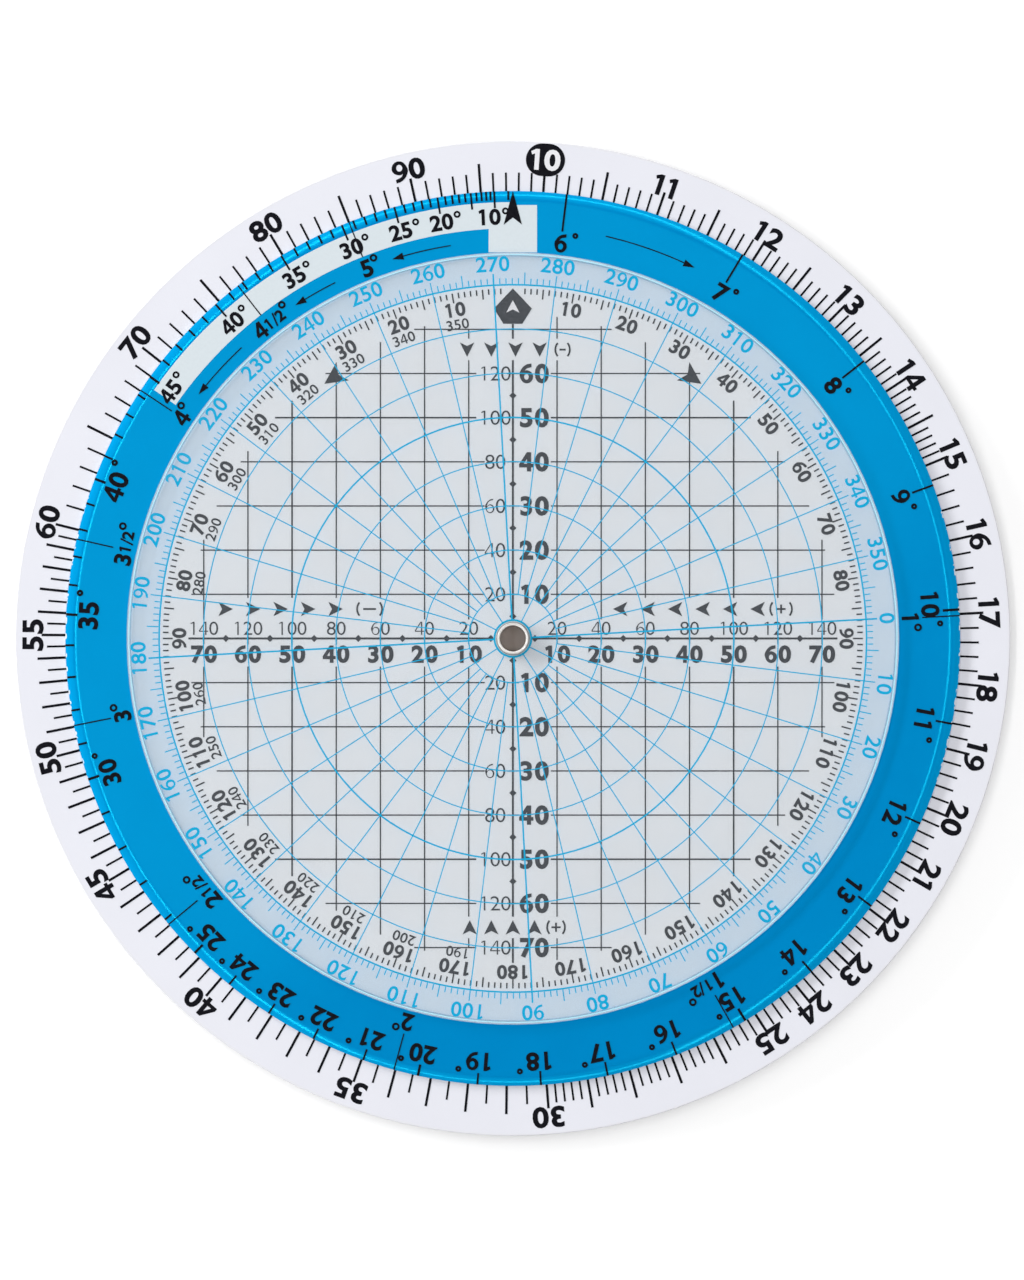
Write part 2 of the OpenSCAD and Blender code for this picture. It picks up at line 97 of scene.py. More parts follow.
camera_data = bpy.data.cameras.new("copy_stand")
camera_data.lens = LENS
camera_data.sensor_width = SENSOR
camera_data.clip_start = 0.01
camera = bpy.data.objects.new("copy_stand", camera_data)
camera_height = FRAME_HEIGHT * LENS / SENSOR
camera.location = (OFF_AXIS.x, OFF_AXIS.y, base_face + camera_height)
bpy.context.scene.collection.objects.link(camera)
bpy.context.scene.camera = camera
bpy.context.scene.view_settings.view_transform = "Standard"
print("camera", round(camera_height, 4), "m over the base disc")

# %% [markdown]
# ## Light
# The photograph has bright soft light with short shadows on the right of every disc, and thin bright
# lines on the rounded rims. Four bars hang in a rectangle higher than the camera, like a window frame,
# and only the rims mirror them into the lens. A soft panel between them gives the blue film its sheen on
# the upper left, and a low panel on the left throws the shadows. One big overhead panel would be simpler,
# but its mirror image would make the whole film pale. The low panel is hidden from glossy rays, because
# from the other side of the table its glare would cover the print.

# %% Hang the light panels
BAR_HEIGHT = 1.0
SIDE_BAR_LENGTH = 1.9
END_BAR = (0.7, 0.12)
END_BAR_Y = 0.94


def light_panel(name, place, size, power, aimed=False):
    lamp = bpy.data.lights.new(name, "AREA")
    lamp.shape = "RECTANGLE"
    lamp.size, lamp.size_y = size
    lamp.energy = power
    panel = bpy.data.objects.new(name, lamp)
    panel.location = place
    if aimed:
        panel.rotation_euler = (-Vector(place)).to_track_quat("-Z", "Y").to_euler()
    bpy.context.scene.collection.objects.link(panel)
    return panel


light_panel("bar_left", (-0.36, 0, BAR_HEIGHT), (0.05, SIDE_BAR_LENGTH), 2.8)
light_panel("bar_right", (0.34, 0, BAR_HEIGHT), (0.08, SIDE_BAR_LENGTH), 2.4)
light_panel("bar_back", (0, END_BAR_Y, BAR_HEIGHT), END_BAR, 1.5)
light_panel("bar_front", (0, -END_BAR_Y, BAR_HEIGHT), END_BAR, 1.2)
light_panel("sheen", (-0.0615, 0.0912, BAR_HEIGHT), (0.5, 0.34), 0.36, aimed=True)
key = light_panel("key_left", (-1.74, 0.86, 0.60), (1.8, 0.20), 42.0, aimed=True)
key.visible_glossy = False

# %% [markdown]
# ## Node helpers
# Every finish below is made of the same few steps: noise on the object's own coordinates, a change of
# its range, and a mix of two colours. Object coordinates stay with a disc when it turns, so a fleck or
# a scratch does too. The radius from the eyelet is handy as well, because so much here is round. Most
# noise lies between 0.3 and 0.7, so that part of it is spread out. A mix node has sockets for numbers and
# vectors too, so its colour sockets are picked by their place.

# %% Write the node helpers
NOISE_LOW, NOISE_HIGH = 0.3, 0.7
COLOUR_A, COLOUR_B, COLOUR_OUT = 6, 7, 2


def start_finish(name):
    finish = bpy.data.materials.new(name)
    finish.use_nodes = True
    tree = finish.node_tree
    return finish, tree, tree.nodes["Principled BSDF"]


def set_inputs(node, values):
    for socket, value in values.items():
        node.inputs[socket].default_value = value


def remap(tree, value, start, end, low, high):
    node = tree.nodes.new("ShaderNodeMapRange")
    set_inputs(node, {"From Min": start, "From Max": end, "To Min": low, "To Max": high})
    tree.links.new(value, node.inputs["Value"])
    return node.outputs["Result"]


def grain(tree, size, low, high, detail=2.0):
    place = tree.nodes.new("ShaderNodeTexCoord").outputs["Object"]
    noise = tree.nodes.new("ShaderNodeTexNoise")
    set_inputs(noise, {"Scale": 1 / size, "Detail": detail})
    tree.links.new(place, noise.inputs["Vector"])
    return remap(tree, noise.outputs["Fac"], NOISE_LOW, NOISE_HIGH, low, high)


def axis_distance(tree):
    place = tree.nodes.new("ShaderNodeTexCoord").outputs["Object"]
    flat = tree.nodes.new("ShaderNodeVectorMath")
    flat.operation = "MULTIPLY"
    flat.inputs[1].default_value = (1, 1, 0)
    length = tree.nodes.new("ShaderNodeVectorMath")
    length.operation = "LENGTH"
    tree.links.new(place, flat.inputs[0])
    tree.links.new(flat.outputs[0], length.inputs[0])
    return length.outputs["Value"]


def axis_part(tree, axis):
    place = tree.nodes.new("ShaderNodeTexCoord").outputs["Object"]
    parts = tree.nodes.new("ShaderNodeSeparateXYZ")
    tree.links.new(place, parts.inputs["Vector"])
    return parts.outputs[axis]


def product(tree, first, second):
    node = tree.nodes.new("ShaderNodeMath")
    node.operation = "MULTIPLY"
    tree.links.new(first, node.inputs[0])
    tree.links.new(second, node.inputs[1])
    return node.outputs[0]


def mix_colours(tree, factor, first, second):
    node = tree.nodes.new("ShaderNodeMix")
    node.data_type = "RGBA"
    tree.links.new(factor, node.inputs["Factor"])
    for socket, colour in ((node.inputs[COLOUR_A], first), (node.inputs[COLOUR_B], second)):
        if isinstance(colour, bpy.types.NodeSocket):
            tree.links.new(colour, socket)
        else:
            socket.default_value = (*colour, 1)
    return node.outputs[COLOUR_OUT]


def add_bump(tree, shader, height, depth):
    node = tree.nodes.new("ShaderNodeBump")
    set_inputs(node, {"Strength": 1.0, "Distance": depth})
    tree.links.new(height, node.inputs["Height"])
    tree.links.new(node.outputs["Normal"], shader.inputs["Normal"])


print("node helpers ready")

# %% [markdown]
# ## Floor and surroundings
# The ground in the photograph is pure white, brighter than the white discs. Turning up the lamps until
# it clips would burn out the discs too. The floor is a pale matt sheet instead that glows a little to
# rays from the camera, also those that come by a mirror or through a clear piece, and only outside the
# instrument, so its shadow stays. The surroundings are white at the horizon and dark overhead, like a
# studio with white walls and a black ceiling, because a flat face mirrors the ceiling into the lens and
# would lose its colour under a white one.

# %% Lay the floor
FLOOR_SIZE = 8.0
FLOOR_GLOW = 0.41
GLOW_START, GLOW_FULL = base_r - 4 * MM, base_r + 2 * MM
HORIZON, CEILING = 0.1, 0.75
CEILING_LIGHT = 0.17


def seen_directly(tree):
    path = tree.nodes.new("ShaderNodeLightPath")
    seen = path.outputs["Is Camera Ray"]
    for ray in ("Is Glossy Ray", "Is Transmission Ray"):
        either = tree.nodes.new("ShaderNodeMath")
        either.operation = "MAXIMUM"
        tree.links.new(seen, either.inputs[0])
        tree.links.new(path.outputs[ray], either.inputs[1])
        seen = either.outputs[0]
    return seen


floor_paper, tree, shader = start_finish("floor_paper")
set_inputs(shader, {"Base Color": (0.80, 0.80, 0.80, 1), "Roughness": 0.9, "Specular IOR Level": 0.0})
shader.inputs["Emission Color"].default_value = (1, 1, 1, 1)
outside = remap(tree, axis_distance(tree), GLOW_START, GLOW_FULL, 0.0, FLOOR_GLOW)
tree.links.new(product(tree, seen_directly(tree), outside), shader.inputs["Emission Strength"])

sheet = bmesh.new()
bmesh.ops.create_grid(sheet, x_segments=1, y_segments=1, size=FLOOR_SIZE / 2)
floor_mesh = bpy.data.meshes.new("floor")
sheet.to_mesh(floor_mesh)
sheet.free()
floor_mesh.materials.append(floor_paper)
floor = bpy.data.objects.new("floor", floor_mesh)
bpy.context.scene.collection.objects.link(floor)

world = bpy.data.worlds.new("studio")
bpy.context.scene.world = world
world.use_nodes = True
surround = world.node_tree.nodes["Background"]
surround.inputs["Color"].default_value = (1, 1, 1, 1)
heading = world.node_tree.nodes.new("ShaderNodeTexCoord").outputs["Generated"]
height = world.node_tree.nodes.new("ShaderNodeSeparateXYZ")
world.node_tree.links.new(heading, height.inputs["Vector"])
glow = remap(world.node_tree, height.outputs["Z"], HORIZON, CEILING, 1.0, CEILING_LIGHT)
world.node_tree.links.new(glow, surround.inputs["Strength"])
print("floor", FLOOR_SIZE, "m wide")

# %% [markdown]
# ## White vinyl
# The base, wind and computer discs are die-cut from satin vinyl sheet with a faint lavender cast. Under
# a lens it has a fine pebble and a slightly uneven gloss. A plain white would look like paper, so the
# colour drifts a little over a centimetre, and a fine bump breaks up the gloss. The wind disc also has
# a pale blue ring, which lies under the compass numbers and tints the frosted disc there.

# %% Mix the vinyl
ROSE_BORDER = 5.0 * MM
RING_FADE = 0.1 * MM
DARK_RIM_WIDTH = 0.5 * MM
DARK_RIM_COLOUR = (0.80, 0.80, 0.84)


def vinyl(name, colour, drift):
    finish, tree, shader = start_finish(name)
    shade = mix_colours(tree, grain(tree, 14 * MM, 0.0, 1.0), colour, drift)
    tree.links.new(grain(tree, 0.8 * MM, 0.42, 0.56), shader.inputs["Roughness"])
    shader.inputs["Specular IOR Level"].default_value = 0.3
    add_bump(tree, shader, grain(tree, 0.22 * MM, 0.0, 1.0), 0.004 * MM)
    return finish, tree, shader, shade


def edge_of_disc(tree, r, width):
    return remap(tree, axis_distance(tree), r - width, r, 0.0, 1.0)


def plain_vinyl(name, colour, drift, r):
    finish, tree, shader, shade = vinyl(name, colour, drift)
    # The last half millimetre of the rim is made a little darker and greyer.
    darker_rim = mix_colours(tree, edge_of_disc(tree, r, DARK_RIM_WIDTH), shade, DARK_RIM_COLOUR)
    tree.links.new(darker_rim, shader.inputs["Base Color"])
    return finish


def ringed_vinyl(name, colour, drift, ring_colour, ring_r):
    finish, tree, shader, shade = vinyl(name, colour, drift)
    in_ring = remap(tree, axis_distance(tree), ring_r - RING_FADE, ring_r + RING_FADE, 0.0, 1.0)
    tree.links.new(mix_colours(tree, in_ring, shade, ring_colour), shader.inputs["Base Color"])
    return finish


rose_r = azimuth_r - ROSE_BORDER
base_vinyl = plain_vinyl("base_vinyl", (0.835, 0.842, 0.91), (0.815, 0.822, 0.888), base_r)
computer_vinyl = plain_vinyl("computer_vinyl", (0.83, 0.84, 0.88), (0.81, 0.82, 0.86), computer_r)
wind_vinyl = ringed_vinyl("wind_vinyl", (0.81, 0.837, 0.869), (0.793, 0.82, 0.851),
                          (0.632, 0.75, 0.86), rose_r)
print("vinyl sheets:", base_vinyl.name, computer_vinyl.name, wind_vinyl.name)

# %% [markdown]
# ## Blue film
# The band round the wind disc is printed in a strong glossy blue. Its rounded rim mirrors the light bars
# as a fine bright line, which could be painted, but would then stay put when the lamps change. The gloss
# is tinted blue, because the real film keeps its colour even where it shines. The rounded rim is painted a
# little paler all round, a painted highlight for the light it catches. Where the disc was cut, the edge is
# rough, and on the left and the right its burrs catch the side light as white flecks, which are painted
# too. They could be modelled as tiny scraps, but they are flat, so noise picks them out of the radius.

# %% Print the band
PAINTED_RIM_IN, PAINTED_RIM_FADE = 1.0 * MM, 0.4 * MM
BURR_GLINT_IN, BURR_GLINT_W = 0.03 * MM, 0.22 * MM
BURR_GLINT_START, BURR_GLINT_FULL = 0.94 * wind_r, 0.965 * wind_r


def side_of_disc(tree, start, end):
    size = tree.nodes.new("ShaderNodeMath")
    size.operation = "ABSOLUTE"
    tree.links.new(axis_part(tree, "X"), size.inputs[0])
    return remap(tree, size.outputs[0], start, end, 0.0, 1.0)


blue_film, tree, shader = start_finish("blue_film")
blue = mix_colours(tree, grain(tree, 9 * MM, 0.0, 1.0), (0.0, 0.263, 0.63), (0.0, 0.251, 0.61))
# The rim is painted paler all round: a painted highlight for the light the rounded rim catches.
rim_painted_highlight = mix_colours(tree, edge_of_disc(tree, wind_r - PAINTED_RIM_IN, PAINTED_RIM_FADE), blue, (0.0, 0.33, 0.73))
# White flecks at the rough cut edge, on the left and the right only: painted glints where the burrs catch
# the side light.
flecks = product(tree, edge_of_disc(tree, wind_r - BURR_GLINT_IN, BURR_GLINT_W), grain(tree, 1.0 * MM, -2.3, 1.9))
sided = product(tree, flecks, side_of_disc(tree, BURR_GLINT_START, BURR_GLINT_FULL))
painted_burr_glints = remap(tree, sided, 0.2, 0.5, 0.0, 1.0)
tree.links.new(mix_colours(tree, painted_burr_glints, rim_painted_highlight, (0.84, 0.88, 0.92)), shader.inputs["Base Color"])
tree.links.new(grain(tree, 0.6 * MM, 0.1, 0.16), shader.inputs["Roughness"])
set_inputs(shader, {"IOR": 1.75, "Specular IOR Level": 0.75, "Specular Tint": (0.01, 0.8, 1.0, 1.0)})
add_bump(tree, shader, grain(tree, 0.5 * MM, 0.0, 1.0), 0.0007 * MM)
print("band film:", blue_film.name)

# %% [markdown]
# ## Inks and white print
# Screen-printed ink lies as a thin matt skin, a little thinner in some places than in others. Each ink
# is one colour pulled slightly towards a second one, with uneven roughness. All inks share a function.
# The light blue of the compass is thin enough for the grid beneath to show through a little.

# %% Mix the inks
def ink(name, colour, thin_colour, gloss, cover=1.0):
    finish, tree, shader = start_finish(name)
    tree.links.new(mix_colours(tree, grain(tree, 0.5 * MM, 0.0, 1.0), colour, thin_colour),
                   shader.inputs["Base Color"])
    tree.links.new(grain(tree, 0.3 * MM, 0.5, 0.7), shader.inputs["Roughness"])
    set_inputs(shader, {"Specular IOR Level": gloss, "Alpha": cover})
    return finish


black_ink = ink("black_ink", (0.004, 0.004, 0.007), (0.009, 0.009, 0.013), 0.06)
grid_ink = ink("grid_ink", (0.016, 0.017, 0.021), (0.034, 0.035, 0.040), 0.06)
cyan_ink = ink("cyan_ink", (0.0, 0.39, 0.67), (0.01, 0.41, 0.70), 0.1, cover=0.93)
red_ink = ink("red_ink", (0.48, 0.018, 0.018), (0.56, 0.03, 0.028), 0.2)
white_print = ink("white_print", (0.70, 0.77, 0.81), (0.68, 0.75, 0.79), 0.25)
white_figure = ink("white_figure", (0.84, 0.84, 0.87), (0.80, 0.80, 0.83), 0.2)
inks = (black_ink, grid_ink, cyan_ink, red_ink, white_print, white_figure)
print("inks:", [each.name for each in inks])

# %% [markdown]
# ## Frosted film
# The compass disc is a frosted sheet that takes pencil marks, so the grid beneath shows through a thin
# grey veil. Rough refraction would be the true way, but it keeps the lamps' light from reaching the
# print below. A low alpha lets light and sight through both faces and leaves the veil. Just inside the
# cut edge the sheet gathers the blue light of the band below in a fine pale line, painted here as a
# highlight, with a painted darker line of shade next to it where the edge is seen through the sheet.
# Both follow the radius, and the cut itself is milky.

# %% Frost the compass disc
LINE_FADE = 0.08 * MM
SHADE_LINE_IN, SHADE_LINE_W = 0.60 * MM, 0.08 * MM
HIGHLIGHT_LINE_IN, HIGHLIGHT_LINE_W = 0.41 * MM, 0.10 * MM
CUT_IN, CUT_FADE = 0.01 * MM, 0.03 * MM


def line_inside(tree, inset, width):
    start = azimuth_r - inset
    end = start + width
    rise = edge_of_disc(tree, start, LINE_FADE)
    fall = remap(tree, axis_distance(tree), end, end + LINE_FADE, 1.0, 0.0)
    return product(tree, rise, fall)


frosted_film, tree, shader = start_finish("frosted_film")
# Edge layers: a painted darker line of shade, a painted pale highlight line, and the milky cut.
edge_layers = [
    (line_inside(tree, SHADE_LINE_IN, SHADE_LINE_W), (0.10, 0.32, 0.50), 0.32),
    (line_inside(tree, HIGHLIGHT_LINE_IN, HIGHLIGHT_LINE_W), (0.50, 0.87, 1.0), 0.85),
    (edge_of_disc(tree, azimuth_r - CUT_IN, CUT_FADE), (0.62, 0.78, 0.88), 0.40),
]
veil = mix_colours(tree, grain(tree, 11 * MM, 0.0, 1.0), (0.40, 0.45, 0.50), (0.44, 0.49, 0.54))
misted = grain(tree, 0.15 * MM, 0.055, 0.085)
for mask, colour, cover in edge_layers:
    veil = mix_colours(tree, mask, veil, colour)
    misted = mix_colours(tree, mask, misted, (cover, cover, cover))
tree.links.new(veil, shader.inputs["Base Color"])
tree.links.new(misted, shader.inputs["Alpha"])
tree.links.new(grain(tree, 0.2 * MM, 0.5, 0.62), shader.inputs["Roughness"])
shader.inputs["Specular IOR Level"].default_value = 0.3
add_bump(tree, shader, grain(tree, 0.12 * MM, 0.0, 1.0), 0.003 * MM)
print("frost:", frosted_film.name)

# %% [markdown]
# ## Metal, acrylic and nylon
# The eyelet and its washer are nickel-plated. The washer keeps fine rings from the pressing tool, and the
# eyelet hardly any. The cursor on the back is clear polished acrylic, lightly scuffed, and the slip washers
# are milky nylon. Ring marks are a wave texture round the axis, and scuffs are only a change of roughness.
# The radius picks out the thin brown plating in the eyelet's bore, the satin top of its bead and a painted
# shade on the outer part of the bead at its foot, and the height picks out the lip of the bore, painted
# dark as shade. A bead of pure mirror metal would show the dark ceiling, so it is part matt.

# %% Finish the hardware
BORE_R = 1.9 * MM
LIP_HEIGHT = 0.15 * MM
BORE_ENDS = (0.02 * MM, 0.12 * MM)
SATIN_STARTS = (0.04 * MM, 0.14 * MM)
FOOT_SHADE_STARTS = (0.36 * MM, 0.58 * MM)
THIN_PLATE, LIP_SHADE_COLOUR = (0.70, 0.55, 0.45), (0.10, 0.09, 0.08)
FOOT_SHADE_COLOUR = (0.28, 0.275, 0.27)
DARKER = 0.9


def past_bore(tree, reach, low, high):
    start, end = reach
    return remap(tree, axis_distance(tree), BORE_R + start, BORE_R + end, low, high)


def nickel(name, colour, dull, uneven, ring_depth, foot_shade=0.0, satin=0.0):
    finish, tree, shader = start_finish(name)
    rings = tree.nodes.new("ShaderNodeTexWave")
    rings.wave_type = "RINGS"
    rings.rings_direction = "Z"
    set_inputs(rings, {"Scale": 900.0, "Distortion": 0.6, "Detail": 1.0})
    place = tree.nodes.new("ShaderNodeTexCoord").outputs["Object"]
    tree.links.new(place, rings.inputs["Vector"])
    shade = mix_colours(tree, grain(tree, 0.7 * MM, 0.0, 1.0), colour, [part * DARKER for part in colour])
    in_bore = past_bore(tree, BORE_ENDS, 1.0, 0.0)
    # Painted shade: the outer part of the bead, at its foot, turns towards dark grey.
    at_foot = past_bore(tree, FOOT_SHADE_STARTS, 0.0, foot_shade)
    colour_with_foot_shade = mix_colours(tree, at_foot, shade, FOOT_SHADE_COLOUR)
    # Painted shade: the upper lip of the bore is coloured near black, for the dark it shows from above.
    at_lip = remap(tree, axis_part(tree, "Z"), rose_face, rose_face + LIP_HEIGHT, 0.0, 1.0)
    bore = mix_colours(tree, at_lip, THIN_PLATE, LIP_SHADE_COLOUR)
    tree.links.new(mix_colours(tree, in_bore, colour_with_foot_shade, bore), shader.inputs["Base Color"])
    tree.links.new(past_bore(tree, SATIN_STARTS, 1.0, 1.0 - satin), shader.inputs["Metallic"])
    tree.links.new(grain(tree, 0.4 * MM, dull, dull + uneven), shader.inputs["Roughness"])
    add_bump(tree, shader, rings.outputs["Fac"], ring_depth)
    return finish


eyelet_nickel = nickel("eyelet_nickel", (0.96, 0.94, 0.91), 0.16, 0.02, 0.0001 * MM, foot_shade=1.0, satin=0.6)
washer_nickel = nickel("washer_nickel", (0.68, 0.67, 0.64), 0.28, 0.06, 0.002 * MM)

clear_acrylic, tree, shader = start_finish("clear_acrylic")
tree.links.new(mix_colours(tree, grain(tree, 20 * MM, 0.0, 1.0), (0.96, 0.98, 0.99), (0.93, 0.96, 0.98)),
               shader.inputs["Base Color"])
tree.links.new(grain(tree, 1.5 * MM, 0.02, 0.09, 6.0), shader.inputs["Roughness"])
set_inputs(shader, {"Transmission Weight": 1.0, "IOR": 1.49})

nylon, tree, shader = start_finish("nylon")
tree.links.new(mix_colours(tree, grain(tree, 1.2 * MM, 0.0, 1.0), (0.80, 0.78, 0.72), (0.74, 0.72, 0.66)),
               shader.inputs["Base Color"])
tree.links.new(grain(tree, 0.5 * MM, 0.45, 0.6), shader.inputs["Roughness"])
print("hardware finishes ready")

# %% [markdown]
# ## Finishes on the CAD nodes
# The CAD shapes are right as they are, so they stay, and only their material slots change. The blue film
# and the eyelet alone get finer pieces of their own in the next steps.

# %% Dress the CAD nodes
node_finishes = {
    "base_disc": base_vinyl,
    "wind_disc": wind_vinyl,
    "computer_disc": computer_vinyl,
    "wind_band": blue_film,
    "wind_patches": white_print,
    "base_wind_scale": black_ink,
    "base_computer_scale": black_ink,
    "wind_scale": black_ink,
    "computer_scale": black_ink,
    "wind_grid": grid_ink,
    "variation_scale": grid_ink,
    "azimuth_disc": frosted_film,
    "azimuth_rose": cyan_ink,
    "azimuth_degrees": cyan_ink,
    "cursor": clear_acrylic,
    "cursor_hairline": red_ink,
    "eyelet": eyelet_nickel,
    "eyelet_washer": washer_nickel,
    "wind_slip_washer": nylon,
    "azimuth_slip_washer": nylon,
    "computer_slip_washer": nylon,
    "cursor_slip_washer": nylon,
}
for name, finish in node_finishes.items():
    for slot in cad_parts[name].material_slots:
        slot.material = finish
print("dressed", len(node_finishes), "of", len(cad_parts), "CAD nodes")

# %% [markdown]
# ## A finer blue film
# The film of the CAD model is right in size, but its facets are coarse for something so thin, and the
# white disc would show through them on the rounded rim. A finer ring stands for it here: a flat edge, a
# point spun down the rim's arc, and both spun once round the eyelet. A boolean of two discs would give
# the same ring, with worse faces.

# %% Spin the blue film
FILM = 0.012 * MM
FILM_IN = 0.02 * MM
RIM_W = 2.0 * MM
RIM_DROP = 0.45 * MM
RIM_STEPS = 10
FILM_STEPS = 360
SHARP_FOLD = math.radians(40)
rim_arc = (RIM_W ** 2 + RIM_DROP ** 2) / (2 * RIM_DROP)
rim_start = wind_r - RIM_W


def finished_piece(name, sheet, body, finish):
    open_edges = sum(1 for edge in sheet.edges if len(edge.link_faces) != 2)
    mesh = bpy.data.meshes.new(name)
    sheet.to_mesh(mesh)
    sheet.free()
    mesh.shade_flat()
    mesh.materials.append(finish)
    piece = bpy.data.objects.new(name, mesh)
    bpy.context.scene.collection.objects.link(piece)
    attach(piece, body)
    print(name, len(mesh.polygons), "faces,", open_edges, "open edges")
    return piece


def raise_sheet(sheet, height):
    raised = bmesh.ops.extrude_face_region(sheet, geom=sheet.faces[:])["geom"]
    lifted = [part for part in raised if isinstance(part, bmesh.types.BMVert)]
    bmesh.ops.translate(sheet, vec=(0, 0, height), verts=lifted)
    bmesh.ops.recalc_face_normals(sheet, faces=sheet.faces[:])


def spin_round(sheet, steps):
    bmesh.ops.spin(sheet, geom=sheet.verts[:] + sheet.edges[:], cent=(0, 0, 0), axis=(0, 0, 1),
                   angle=2 * math.pi, steps=steps, use_merge=True)


def shade_round(piece):
    piece.data.shade_smooth()
    piece.data.set_sharp_from_angle(angle=SHARP_FOLD)


sheet = bmesh.new()
inner = sheet.verts.new((azimuth_r - FILM_IN, 0, grid_face))
start = sheet.verts.new((rim_start, 0, grid_face))
sheet.edges.new((inner, start))
bmesh.ops.spin(sheet, geom=[start], cent=(rim_start, 0, grid_face - rim_arc), axis=(0, 1, 0),
               angle=math.asin(RIM_W / rim_arc), steps=RIM_STEPS)
spin_round(sheet, FILM_STEPS)
raise_sheet(sheet, FILM)
film = finished_piece("band_film", sheet, "wind", blue_film)
shade_round(film)
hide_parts("wind_band")

# %% [markdown]
# ## A smooth eyelet
# Polished metal shows every facet, so the eyelet is spun finely too. Its profile starts at a point of the
# bore. Points spun by part of a turn make the pressed bead below and the domed bead in front, straight
# edges make the flat, the barrel and the bore, and the closed profile is spun once round the axis. A
# cylinder and two rings would give the same look from above, but not one closed shell.

# %% Spin the eyelet
BARREL_R = 2.2 * MM
BEAD = 0.33 * MM
BEAD_RISE = 0.25 * MM
SET_RISE = 0.2 * MM
SHELL_STEPS = 96
front_middle = Vector((BORE_R + BEAD, 0, rose_face + BEAD_RISE))
set_middle = Vector((BORE_R + BEAD, 0, SET_RISE))
set_angle = math.asin(SET_RISE / BEAD)
seat_angle = math.asin(BEAD_RISE / BEAD)


def bead_arc(sheet, start, middle, angle, steps):
    grown = bmesh.ops.spin(sheet, geom=[start], cent=middle, axis=(0, -1, 0), angle=angle, steps=steps)
    return next(part for part in grown["geom_last"] if isinstance(part, bmesh.types.BMVert))


def straight_to(sheet, start, r, z):
    end = sheet.verts.new((r, 0, z))
    sheet.edges.new((start, end))
    return end


sheet = bmesh.new()
bore_low = sheet.verts.new((BORE_R, 0, SET_RISE))
point = bead_arc(sheet, bore_low, set_middle, set_angle, 3)
point = straight_to(sheet, point, set_middle.x + BEAD * math.cos(set_angle), 0)
point = bead_arc(sheet, point, set_middle, 2 * set_angle, 6)
point = straight_to(sheet, point, BARREL_R, 2 * SET_RISE)
point = straight_to(sheet, point, BARREL_R, rose_face)
point = straight_to(sheet, point, front_middle.x + BEAD * math.cos(seat_angle), rose_face)
point = bead_arc(sheet, point, front_middle, math.pi + seat_angle, 18)
sheet.edges.new((point, bore_low))
spin_round(sheet, SHELL_STEPS)
bmesh.ops.recalc_face_normals(sheet, faces=sheet.faces[:])
shell = finished_piece("eyelet_shell", sheet, "base", eyelet_nickel)
shade_round(shell)
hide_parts("eyelet")

# %% [markdown]
# ## Figures
# All the lettering is plain figures in a sturdy sans. Blender's own font gives most of them, but its 1
# is a bare bar, its 6 and 9 have straight stems and its 4 closes up when it is made bold. Those are drawn
# here as outlines with the same height and stem: 1 and 4 from corners, 6 from corners and smooth points,
# and 9 is a 6 turned round. A curve's offset makes each figure lighter or bolder. The drawn ones need less
# of it, and the most would fold the 3 over itself. A flat filled curve is then kept as a mesh, to be
# stamped.

# %% Cut the figures
FIGURE_HEIGHT = 0.682
FIGURE_MIDDLE = (0.25, 0.341)
DRAWN = "1469"
DRAWN_EXTRA = 0.012
THREE_MOST = 0.036
LIGHT, REGULAR, MEDIUM, BOLD, HEAVY = -0.006, 0.012, 0.018, 0.032, 0.040
ONE = [(0.300, 0.0), (0.300, 0.682), (0.218, 0.682), (0.085, 0.605), (0.110, 0.528), (0.202, 0.575),
       (0.202, 0.0)]
FOUR = [(0.392, 0.0), (0.392, 0.155), (0.475, 0.155), (0.475, 0.238), (0.392, 0.238), (0.392, 0.682),
        (0.283, 0.682), (0.015, 0.245), (0.015, 0.155), (0.298, 0.155), (0.298, 0.0)]
FOUR_COUNTER = [(0.298, 0.238), (0.298, 0.555), (0.105, 0.238)]
SIX_CORNERS = [(0.405, 0.691), (0.142, 0.375), (0.405, 0.605)]
SIX_OUTLINE = [SIX_CORNERS[0], (0.250, 0.650), (0.090, 0.490), (0.034, 0.265), (0.252, -0.009),
               (0.466, 0.222), (0.280, 0.437), SIX_CORNERS[1], (0.222, 0.535), SIX_CORNERS[2]]
SIX_COUNTER = [(0.258, 0.352), (0.138, 0.218), (0.255, 0.070), (0.364, 0.218)]


def add_outline(curve, points, corners):
    spline = curve.splines.new("BEZIER")
    spline.bezier_points.add(len(points) - 1)
    spline.use_cyclic_u = True
    for knot, point in zip(spline.bezier_points, points):
        knot.co = (*point, 0)
        kind = "VECTOR" if point in corners else "AUTO"
        knot.handle_left_type = knot.handle_right_type = kind


def figure_curve(figure):
    if figure in DRAWN:
        curve = bpy.data.curves.new("figure", "CURVE")
        curve.dimensions = "2D"
    else:
        curve = bpy.data.curves.new("figure", "FONT")
        curve.body = figure
    if figure == "1":
        add_outline(curve, ONE, ONE)
    if figure == "4":
        add_outline(curve, FOUR, FOUR)
        add_outline(curve, FOUR_COUNTER, FOUR_COUNTER)
    if figure in "69":
        add_outline(curve, SIX_OUTLINE, SIX_CORNERS)
        add_outline(curve, SIX_COUNTER, [])
    return curve


